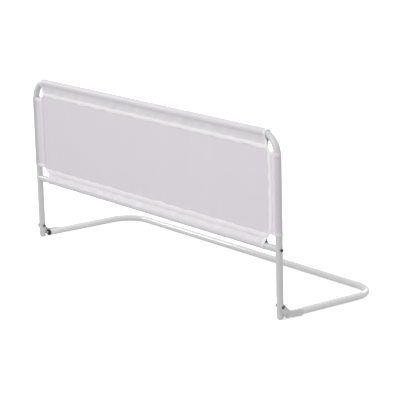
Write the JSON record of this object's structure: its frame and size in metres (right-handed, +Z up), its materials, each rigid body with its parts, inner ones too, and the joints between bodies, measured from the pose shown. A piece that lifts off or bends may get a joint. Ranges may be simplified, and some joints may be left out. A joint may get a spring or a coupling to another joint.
{
  "type": "bed guard rail",
  "caption": "Tubular bed guard with a fabric mesh panel in a bent tube frame, hinged on a flat U-shaped base that slides under a mattress.",
  "frame": {"origin": "bottom centre of the whole object's box, on the plane that the foot plugs and the base tube rest on", "axes": "+Z up, +X along the rail, +Y from the rail towards the back of the base, which goes under the mattress"},
  "size_m": [1.0266, 0.3102, 0.4303],
  "materials": {
    "white_steel": "smooth satin powder coat",
    "plate_steel": "satin powder coat",
    "dark_fastener": "black oxide",
    "bright_fastener": "bright zinc",
    "black_plastic": "moulded, slightly glossy",
    "white_plastic": "moulded satin",
    "insert_plastic": "moulded",
    "mesh_fabric": "fine lilac-grey knitted mesh",
    "white_fabric": "white plain weave"
  },
  "bodies": {
    "base": {"base_tube": "white_steel", "base_end_plug_left": "black_plastic", "base_end_plug_right": "black_plastic", "hinge_plate_left": "plate_steel", "hinge_plate_right": "plate_steel", "pivot_bolt_left": "dark_fastener", "pivot_bolt_right": "dark_fastener", "pivot_nut_left": "dark_fastener", "pivot_nut_right": "dark_fastener", "stop_pin_left": "bright_fastener", "stop_pin_right": "bright_fastener", "plate_rivet_front_left": "plate_steel", "plate_rivet_front_right": "plate_steel", "plate_rivet_rear_left": "plate_steel", "plate_rivet_rear_right": "plate_steel"},
    "rail": {"rail_tube": "white_steel", "crossbar_tube": "white_steel", "crossbar_insert_left": "insert_plastic", "crossbar_insert_right": "insert_plastic", "crossbar_screw_left": "dark_fastener", "crossbar_screw_right": "dark_fastener", "foot_plug_left": "white_plastic", "foot_plug_right": "white_plastic", "panel_mesh": "mesh_fabric", "sleeve_top": "white_fabric", "sleeve_bottom": "white_fabric", "sleeve_side_left": "white_fabric", "sleeve_side_right": "white_fabric"}
  },
  "joints": [
    {"name": "rail_fold", "type": "hinge", "parent": "base", "child": "rail", "pos_m": [0, -0.14585, 0.031], "axis": [-1, 0, 0], "range_deg": [0, 90]}
  ]
}
